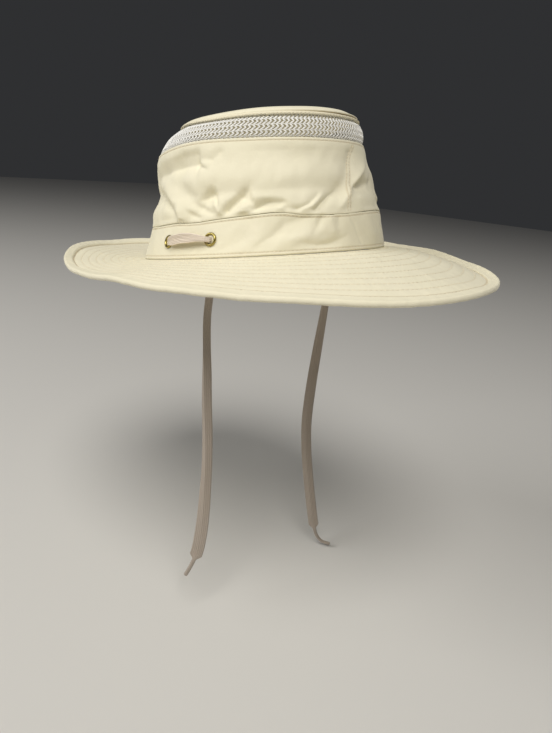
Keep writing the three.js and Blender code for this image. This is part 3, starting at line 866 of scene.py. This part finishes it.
step = 360 / NET_AROUND
rows = [VENT_FOOT - 3.2]
while rows[-1] < VENT_TOP + 1.2:
    rows.append(rows[-1] + (1.9 if len(rows) % 2 else 1.65))
rows = np.array(rows)
heights = np.sort(np.concatenate([rows, rows[:-1] + np.diff(rows) / 2]))
heights = heights[heights < VENT_TOP + 0.6]
zig = np.interp(heights, rows, ZIG * (-1.0) ** np.arange(len(rows)))
paths = []
for k in range(NET_AROUND):
    for beside in (-YARN_BESIDE, YARN_BESIDE):
        line = net_point((k + zig + beside) * step, heights)
        paths.append((worn(line), np.zeros_like(line)))
for height in rows[rows < VENT_TOP + 0.3][::2]:
    for k in range(NET_AROUND):
        climb = SLANT * np.array([-0.5, 0.0, 0.5])
        line = net_point((k + LINK_AT + LINK) * step, height + climb, -LINK_BEHIND)
        paths.append((worn(line), np.zeros_like(line)))


def yarn_tree():
    """Geometry Nodes that make a yarn along each path of edges."""
    nodes, start = new_group(
        "yarn_along_path",
        (
            ("Path", "Geometry", None),
            ("Yarn", "Float", 0.0005),
            ("Sides", "Int", 5),
            ("Finish", "Material", None),
        ),
    )
    line = add(nodes, "GeometryNodeMeshToCurve", {}, {"Mesh": start["Path"]}).outputs[0]
    sockets = {"Resolution": start["Sides"], "Radius": start["Yarn"]}
    section = add(nodes, "GeometryNodeCurvePrimitiveCircle", {}, sockets).outputs[0]
    sockets = {"Curve": line, "Profile Curve": section, "Fill Caps": True}
    tube = add(nodes, "GeometryNodeCurveToMesh", {}, sockets).outputs[0]
    end_group(nodes, tube, start["Finish"])
    return nodes


vent = path_object("vent_net", paths, False)
grow(vent, yarn_tree(), {"Yarn": NET_YARN * MM, "Sides": 5, "Finish": net})
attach(vent, "root")
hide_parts("vent_mesh")

# ---------------------------------------------------------------------------------------------
# Tip. The flat oval top of canvas, sewn to a narrow strip that turns down over the net. The
# top puffs up behind the seam, most of all in front.
TIP_AROUND = 360
TIP_PROFILE = [  # rise over the vent, how far out, and how much painted shade darkens the cloth there
    (-0.1, -0.1, 0), (0.0, 0.2, 0), (0.2, 0.3, 0), (0.45, 0.25, 0.35), (0.7, 0.25, 0.35),
    (1.0, 0.25, 0), (1.4, 0.1, 0.3), (1.65, -0.1, 0.9), (1.9, -0.15, 1.0), (2.15, -0.1, 0.6),
    (2.5, 0.0, 0), (3.0, 0.0, 0), (3.5, -0.25, 0), (4.0, -0.7, 0), (4.5, -1.3, 0),
    (4.8, -1.8, 0), (5.0, -2.2, 0),
]
TIP_STITCHES = 3  # the profile's row that the stitches lie on
TIP_TOP = [  # share of the way out from the middle, and rise over the rim
    (0.985, 0.75), (0.965, 1.35), (0.94, 1.85), (0.91, 2.2), (0.87, 2.5), (0.82, 2.7),
    (0.75, 2.8), (0.66, 2.7), (0.56, 2.4), (0.45, 2.0), (0.34, 1.7), (0.23, 1.5),
    (0.12, 1.4), (0.04, 1.4),
]
around = np.arange(TIP_AROUND) * (360 / TIP_AROUND)
front = np.exp(-(((half_turn(around) + 8) / 44) ** 2))
behind = smooth_loop(TIP_BEHIND, around)
profile = []
for rise, out_at, crease_shade in TIP_PROFILE:
    in_crease = math.exp(-(((rise - 1.85) / 0.4) ** 2))
    puffed = math.exp(-(((rise - 3.1) / 1.0) ** 2))
    moved = out_at - 0.8 * front * in_crease + 0.9 * front * puffed
    height = VENT_TOP + rise * (1 - 0.35 * behind)
    # painted shade along the strip's crease, most of all in front
    shade_mark = crease_shade * (0.15 + 0.85 * front if rise > 1.2 else 1.0)
    profile.append((crown_point(around, height, moved - 2.0 * behind), shade_mark))
rim = profile[-1][0]
middle = np.array([0, -14.5, TIP_EDGE + 1.0])
rows = [row for row, _ in profile]
shade_marks = np.array([shade_mark * np.ones(TIP_AROUND) for _, shade_mark in profile]).T
for share, rise in TIP_TOP:
    ring = middle + (rim - middle) * share
    ring[:, 2] += rise * (0.3 + 0.7 * front) * share**0.3
    ring[:, 2] += 0.25 * ripple(ring, 30, 41) * (1 - share**6)
    rows.append(ring)
tip_outer = np.stack(rows, 1)
ways = surface_ways(tip_outer)
if ways[:, -3, 2].mean() < 0:
    ways = -ways
tip_inner = tip_outer - ways * CLOTH
foot = (tip_outer[:, 0] + tip_inner[:, 0]) / 2 + (tip_outer[:, 0] - tip_outer[:, 1]) * 0.8
sections = np.concatenate([tip_outer, tip_inner[:, ::-1], foot[:, None]], 1)
painted_shade = np.zeros(sections.shape[:2])
painted_shade[:, : shade_marks.shape[1]] = shade_marks


def plate_piece(name, sections, painted_shade, last_outer, material):
    """As ring_piece, but the hole in its middle is closed above and below by a pole each."""
    around, rows = sections.shape[:2]
    i, j = np.meshgrid(np.arange(around), np.arange(rows), indexing="ij")
    kept = np.arange(rows) != last_outer
    i, j = i[:, kept].ravel(), j[:, kept].ravel()
    i1, j1 = (i + 1) % around, (j + 1) % rows
    faces = [np.stack([i * rows + j, i1 * rows + j, i1 * rows + j1, i * rows + j1], 1)]
    poles = []
    pair = np.arange(0, around, 2)
    for side, column in enumerate((last_outer, last_outer + 1)):
        pole = around * rows + side
        poles.append(sections[:, column].mean(0))
        ring = [pair * rows + column, (pair + 1) * rows + column]
        ring.append((pair + 2) % around * rows + column)
        fan = np.stack([ring[0], ring[1], ring[2], np.full(len(pair), pole)], 1)
        faces.append(fan if side == 0 else fan[:, ::-1])
    faces = np.concatenate(faces)
    points = worn(np.concatenate([sections.reshape(-1, 3), poles]))
    uv = points[faces][..., :2]
    shade_marks = np.concatenate([painted_shade.ravel(), [0, 0]])
    return new_piece(name, points, faces, uv, shade_marks, material)


tip = plate_piece("tip_cloth", sections, painted_shade, tip_outer.shape[1] - 1, canvas)
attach(tip, "root")
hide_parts("crown_tip")
line, up_ways = tip_outer[:, TIP_STITCHES], ways[:, TIP_STITCHES]
paths = [(worn(line + 0.1 * up_ways), worn(up_ways))]
sew("tip_stitches", paths, pitch=2.6, length=1.9, width=0.45)

# ---------------------------------------------------------------------------------------------
# Eyelets. Two pairs of brass eyelets, rolled over the band outside and spread on a thin flange
# inside. Lacquered brass: a soft yellow gloss with fine rubbing marks.
EYELET_OUTER = 4.8
EYELET_AROUND = 48
brass, tree, shader = new_material("lacquered_brass", {"Metallic": 1.0, "Coat Weight": 0.3})
rub = noise(tree, object_place(tree), 700.0, 3.0)
tone = blend(tree, rub, linear("#BDAC68"), linear("#938548"))
polish = add(tree, "ShaderNodeMapRange", {}, {"Value": rub, "To Min": 0.22, "To Max": 0.38})
tree.links.new(tone, shader.inputs["Base Color"])
tree.links.new(polish.outputs["Result"], shader.inputs["Roughness"])
tree.links.new(bump(tree, rub, 0.15, 0.0001), shader.inputs["Normal"])

middle, half = (EYELET_OUTER + EYELET_HOLE) / 2, (EYELET_OUTER - EYELET_HOLE) / 2
roll = [(middle + half * math.cos(t), 0.25 + 1.25 * math.sin(t)) for t in np.linspace(0, np.pi, 13)]
inside = -BAND_CLOTH - 0.3
section = roll + [  # distance from the hole's middle, and how far out of the band
    (EYELET_HOLE, inside - 0.2),
    (EYELET_HOLE + 0.3, inside - 0.5),
    (EYELET_OUTER - 0.9, inside - 0.5),
    (EYELET_OUTER - 0.6, inside - 0.3),
    (EYELET_OUTER - 0.7, inside),
    (EYELET_HOLE + 0.8, inside),
    (EYELET_HOLE + 0.8, 0.2),
]
section = np.array(section)
for name, bearing in EYELETS.items():
    centre = crown_point(bearing, EYELET_UP, 0)
    beside = [crown_point(bearing + k, EYELET_UP, 0) for k in (-1, 1)]
    above = [crown_point(bearing, EYELET_UP + k, 0) for k in (-1, 1)]
    across_way = unit(beside[1] - beside[0])
    out_way = unit(np.cross(above[1] - above[0], across_way))
    if out_way @ (crown_point(bearing, EYELET_UP, 1) - centre) < 0:
        out_way = -out_way
    up_way = np.cross(out_way, across_way)
    turns = np.arange(EYELET_AROUND)[:, None] * (2 * np.pi / EYELET_AROUND)
    ring_way = np.cos(turns) * across_way + np.sin(turns) * up_way
    sections = centre + ring_way[:, None] * section[:, :1] + out_way * section[:, 1:]
    ring = ring_piece(name + "_ring", sections, np.zeros(sections.shape[:2]), brass)
    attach(ring, "root")
    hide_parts(name)

# ---------------------------------------------------------------------------------------------
# Chin cord. One flat knitted cotton cord: it hangs free from inside each side of the hat, goes
# out and in through the pair of eyelets there, and crosses behind the head inside the band.
TAPE_WIDE = 10.5
TAPE_THICK = 1.5
TAPE_RIBS = 7
PINCH_LENGTH = 5.0  # over which the tape is gathered into its bare tip
HANGING_SHADE = 0.85  # how much painted shade darkens the hanging ends, which hang in the brim's shade
TAPE_LOOPS = 1.1  # mm along the tape
TAPE_RIB_PITCH = 1.5
cotton, tree, shader = new_material(
    "knitted_cotton_cord",
    {"Roughness": 0.9, "Sheen Weight": 0.25, "Specular IOR Level": 0.25},
)
cord_mm = cloth_place(tree)
loops = waves(tree, cord_mm, "X", TAPE_LOOPS, Distortion=1.2)
ribs = waves(tree, cord_mm, "Y", TAPE_RIB_PITCH, Distortion=0.4)
fuzz = noise(tree, cord_mm, 1.6, 3.0)
tone = blend(tree, fuzz, linear("#FBF0E2"), linear("#F1E3D1"))
# painted shade: a darker colour in the hollows between the ribs
rib_shaded = blend(tree, ribs, linear("#E9DACA"), tone)
shaded_ends = blend(tree, painted_shade_share(tree), rib_shaded, linear("#9C9084"))  # painted shade on the hanging ends
tree.links.new(shaded_ends, shader.inputs["Base Color"])
looped = bump(tree, loops, 0.4, 0.0003)
tree.links.new(bump(tree, ribs, 0.5, 0.0003, Normal=looped), shader.inputs["Normal"])


def smooth_line(points, spacing):
    """A centripetal Catmull-Rom curve through points, sampled evenly."""
    p = np.asarray(points, float)
    p = np.concatenate([[2 * p[0] - p[1]], p, [2 * p[-1] - p[-2]]])
    fine = []
    for a, b, c, d in zip(p, p[1:], p[2:], p[3:]):
        t1 = math.sqrt(np.linalg.norm(b - a))
        t2 = t1 + math.sqrt(np.linalg.norm(c - b))
        t3 = t2 + math.sqrt(np.linalg.norm(d - c))
        for t in np.linspace(t1, t2, 24, endpoint=False):
            ab = (t1 - t) / t1 * a + t / t1 * b
            bc = (t2 - t) / (t2 - t1) * b + (t - t1) / (t2 - t1) * c
            cd = (t3 - t) / (t3 - t2) * c + (t - t2) / (t3 - t2) * d
            abc = (t2 - t) / t2 * ab + t / t2 * bc
            bcd = (t3 - t) / (t3 - t1) * bc + (t - t1) / (t3 - t1) * cd
            fine.append((t2 - t) / (t2 - t1) * abc + (t - t1) / (t2 - t1) * bcd)
    fine = np.array([*fine, p[-2]])
    run = np.concatenate([[0], np.cumsum(np.linalg.norm(np.diff(fine, axis=0), axis=1))])
    count = max(2, int(round(run[-1] / spacing)) + 1)
    at = np.linspace(0, run[-1], count)
    return np.stack([np.interp(at, run, fine[:, k]) for k in range(3)], 1), run[-1]


HALF = 24


def tape_outline(width, thick, closing, pinch):
    """The tape's cut end: flat, closed lengthwise into a V, or gathered round."""
    s = np.linspace(-1, 1, HALF)
    ribs = 0.12 * thick * np.cos(s * np.pi * TAPE_RIBS)
    half = thick / 2 * np.minimum(1, ((1 - np.abs(s)) * 9 + 0.15)) ** 0.5 + ribs * (
        np.abs(s) < 0.93
    )
    x = s * width / 2 * math.cos(closing)
    lift = (0.5 - np.abs(s)) * width / 2 * math.sin(closing)
    top = np.stack([x, lift + half], 1)
    low = np.stack([x, lift - half], 1)[::-1]
    ring = np.concatenate([top, low])
    turn = np.linspace(np.pi, -np.pi, 2 * HALF, endpoint=False)
    bunched = 1.6 * np.stack([np.cos(turn), np.sin(turn)], 1)
    bunched *= (1 + 0.08 * np.cos(turn * 6))[:, None]
    return ring * (1 - pinch) + bunched * pinch


def tape_piece(name, line, widths, closings, pinches, ways, thick=TAPE_THICK, end_shade=0.0):
    """A length of tape along a line, one value in each list for each point of it."""
    along = unit(np.gradient(line, axis=0))
    ways = unit(ways - along * (ways * along).sum(1)[:, None])
    faces_way = np.cross(along, ways)
    rings = []
    for k in range(len(line)):
        outline = tape_outline(widths[k], thick, closings[k], pinches[k])
        rings.append(line[k] + outline[:, :1] * ways[k] + outline[:, 1:] * faces_way[k])
    rings = np.array(rings)
    ends = []
    for at, sign in ((0, -1), (-1, 1)):
        inner = []
        for share, push in ((0.8, 0.35), (0.45, 0.55), (0.05, 0.6)):
            inner.append(
                line[at] + (rings[at] - line[at]) * share + along[at] * sign * push
            )
        ends.append(inner)
    rings = np.concatenate([np.array(ends[0])[::-1], rings, np.array(ends[1])])
    n, m = rings.shape[:2]
    i, j = np.meshgrid(np.arange(n - 1), np.arange(m), indexing="ij")
    i, j = i.ravel(), j.ravel()
    j1 = (j + 1) % m
    faces = np.stack([i * m + j, (i + 1) * m + j, (i + 1) * m + j1, i * m + j1], 1)
    pair = np.arange(0, m, 2)
    first = np.stack([pair, (pair + 1) % m, (pair + 2) % m, np.full(len(pair), n * m)], 1)
    last = (n - 1) * m + np.stack([(pair + 2) % m, (pair + 1) % m, pair, 0 * pair], 1)
    last[:, 3] = n * m + 1
    poles = np.array([rings[0].mean(0), rings[-1].mean(0)])
    u = np.concatenate(
        [[0], np.cumsum(np.linalg.norm(np.diff(rings.mean(1), axis=0), axis=1))]
    )
    half = TAPE_WIDE * np.concatenate([np.linspace(0, 1, HALF), np.linspace(1, 0, HALF)])
    v = np.concatenate([half, [0]])
    uv = grid_uv(u, v, i, j)
    end_uv = np.zeros((2 * len(pair), 4, 2))
    end_uv[len(pair) :, :, 0] = u[-1]
    made = new_piece(
        name,
        np.concatenate([rings.reshape(-1, 3), poles]),
        np.concatenate([faces, first, last]),
        np.concatenate([uv, end_uv]),
        # painted shade over the whole piece
        np.full(n * m + 2, end_shade),
        cotton,
    )
    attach(made, "root")
    return made


SPAN = [  # bearing, how far out of the band, up
    (77, -5.2, 6.6), (77, -5.0, 9.4), (77, -3.2, 11.9), (77, -0.8, 12.1), (77, 2, 12.1),
    (78.4, 3.6, 12.6), (82, 4.2, 13.6), (89, 4.6, 14.0), (95, 3.9, 13.0), (98.2, 2.9, 12.4),
    (99.9, 1.4, 12.1), (100.6, -0.8, 12.1), (101, -3.8, 12.1), (102.4, -5.6, 12.1),
    (104.6, -5.8, 12.1),
]
for name, sign in (("cord_right_span", 1), ("cord_left_span", -1)):
    knots = np.array([crown_point(sign * b, up, out) for b, out, up in SPAN])
    line, _ = smooth_line(knots, 0.7)
    u = np.linspace(0, 1, len(line))
    opened = ease(u, 0.17, 0.46) * (1 - ease(u, 0.7, 0.86))
    ways = np.array([0.0, -1, 0]) * np.clip(1 - 8 * u, 0, 1)[:, None]
    ways = ways + np.array([0, 0, 1.0]) * np.clip(8 * u, 0.02, 1)[:, None]
    made = tape_piece(
        name + "_tape",
        worn(line),
        3.6 + 3.2 * opened,
        np.full(len(line), 0.15),
        0.45 * (1 - opened),
        worn(ways),
        thick=2.1,
    )
    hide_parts(name)

bearings = np.linspace(104.9, 255.1, 16)
line, _ = smooth_line(crown_point(bearings, EYELET_UP, -5.8), 1.6)
u = np.linspace(0, 1, len(line))
opened = np.clip(np.minimum(8 * u, 8 * (1 - u)), 0, 1)
made = tape_piece(
    "cord_back_tape",
    worn(line),
    4.2 + (TAPE_WIDE - 4.2) * opened,
    0.9 * (1 - opened),
    0 * u,
    np.tile(worn([0, 0, 1.0]), (len(line), 1)),
)
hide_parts("cord_back")

RIGHT_END = [  # forward, to the wearer's right, up
    (20.1, 75.4, 0), (19.2, 75.8, -18), (18.2, 76.6, -38), (18.6, 76.4, -58),
    (19.6, 75.6, -80), (20.6, 75.0, -103), (22.0, 73.9, -130), (22.8, 73.3, -155),
    (22.8, 73.3, -180), (22.4, 73.6, -207), (21.4, 74.4, -225), (20.0, 75.4, -238),
    (18.2, 76.8, -247), (15.6, 78.7, -256), (12.9, 80.8, -264),
]
LEFT_END = [
    (20.2, -75.4, 0), (19.6, -75.0, -24), (18.6, -74.0, -55), (17.6, -72.6, -90),
    (16.8, -71.0, -130), (17.4, -70.0, -168), (19.8, -71.5, -196), (23.2, -74.1, -222),
    (27.3, -77.2, -248), (31.7, -80.5, -274), (34.6, -82.7, -289), (37.8, -85.0, -299),
    (42.6, -88.7, -305.6), (49.3, -93.8, -308),
]
for name, sign, route, tip_from, closing_rows in (
    (
        "cord_right_end",
        1,
        RIGHT_END,
        -247.0,
        [(0, 1.2), (20, 1.13), (48, 1.08), (72, 0.93), (94, 0.75), (116, 0.68),
         (175, 0.6), (215, 0.26), (235, 0.1), (300, 0.1)],
    ),
    (
        "cord_left_end",
        -1,
        LEFT_END,
        -290.0,
        [(0, 1.2), (40, 1.0), (100, 0.55), (150, 0.3), (340, 0.2)],
    ),
):
    start = worn(crown_point(sign * 77, 6.0, -5.2))
    knots = [start, *((-r, -f, up) for f, r, up in route)]
    line, length = smooth_line(knots, 1.6)
    run = np.linspace(0, length, len(line))
    tip_at = run[int(np.argmax(line[:, 2] < tip_from))]
    u = run / length
    ways = (1 - u)[:, None] * np.array([0, -1.0, 0]) + u[:, None] * np.array([0.6, -0.8, 0])
    pinch = ease(run, tip_at - PINCH_LENGTH, tip_at)
    closing = np.interp(run, *np.array(closing_rows).T)
    made = tape_piece(
        name + "_tape", line, np.full(len(line), TAPE_WIDE), closing, pinch, ways, end_shade=HANGING_SHADE
    )
    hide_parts(name)

# ---------------------------------------------------------------------------------------------
# The room: a plain pale floor under the cord's ends, a soft light on the camera's side and a
# weaker one from behind the wearer's right, and the camera.
FLOOR_UP = -0.3125
floor_mesh = bpy.data.meshes.new("floor")
reach = 6.0
corners = [(x * reach, y * reach, FLOOR_UP) for x, y in ((-1, -1), (1, -1), (1, 1), (-1, 1))]
floor_mesh.from_pydata(corners, [], [(0, 1, 2, 3)])
floor = placed("floor", floor_mesh)
paper, _, _ = new_material("studio_paper", {"Base Color": linear("#DAD8D4"), "Roughness": 0.9})
floor_mesh.materials.append(paper)

world = bpy.data.worlds.new("studio")
scene.world = world
world.use_nodes = True
background = world.node_tree.nodes["Background"]
background.inputs["Color"].default_value = linear("#E9ECF2")
background.inputs["Strength"].default_value = 0.035

CAMERA_AT = Vector((-0.3458, -0.2868, 0.0661))
FORWARD = Vector((0.79864, 0.60182, 0))
ACROSS = Vector((0.60182, -0.79864, 0))
for name, bearing, rise, away, size, power, colour in (
    ("key_light", 52, 55, 3.2, 1.8, 75.0, "#FFFCF6"),
    ("side_light", 125, 35, 3.2, 1.8, 45.0, "#FFFEFB"),
):
    light = bpy.data.lights.new(name, "AREA")
    light.shape = "DISK"
    light.size = size
    light.energy = power
    light.color = linear(colour)[:3]
    lamp = bpy.data.objects.new(name, light)
    turn, rise = math.radians(bearing), math.radians(rise)
    lamp.location = away * Vector(
        (-math.sin(turn) * math.cos(rise), -math.cos(turn) * math.cos(rise), math.sin(rise))
    )
    lamp.rotation_euler = (-lamp.location).to_track_quat("-Z", "Y").to_euler()
    scene.collection.objects.link(lamp)

pitch, roll = math.radians(19.90), math.radians(5.48)
sight = math.cos(pitch) * FORWARD - math.sin(pitch) * Vector((0, 0, 1))
above = math.sin(pitch) * FORWARD + math.cos(pitch) * Vector((0, 0, 1))
right = math.cos(roll) * ACROSS + math.sin(roll) * above
top = -math.sin(roll) * ACROSS + math.cos(roll) * above
lens = bpy.data.cameras.new("camera")
lens.lens = 27.09
lens.sensor_width = 36.0
lens.clip_start = 0.01
camera = bpy.data.objects.new("camera", lens)
camera.matrix_world = Matrix(
    (
        (right.x, top.x, -sight.x, CAMERA_AT.x),
        (right.y, top.y, -sight.y, CAMERA_AT.y),
        (right.z, top.z, -sight.z, CAMERA_AT.z),
        (0, 0, 0, 1),
    )
)
scene.collection.objects.link(camera)
scene.camera = camera
scene.view_settings.view_transform = "Standard"
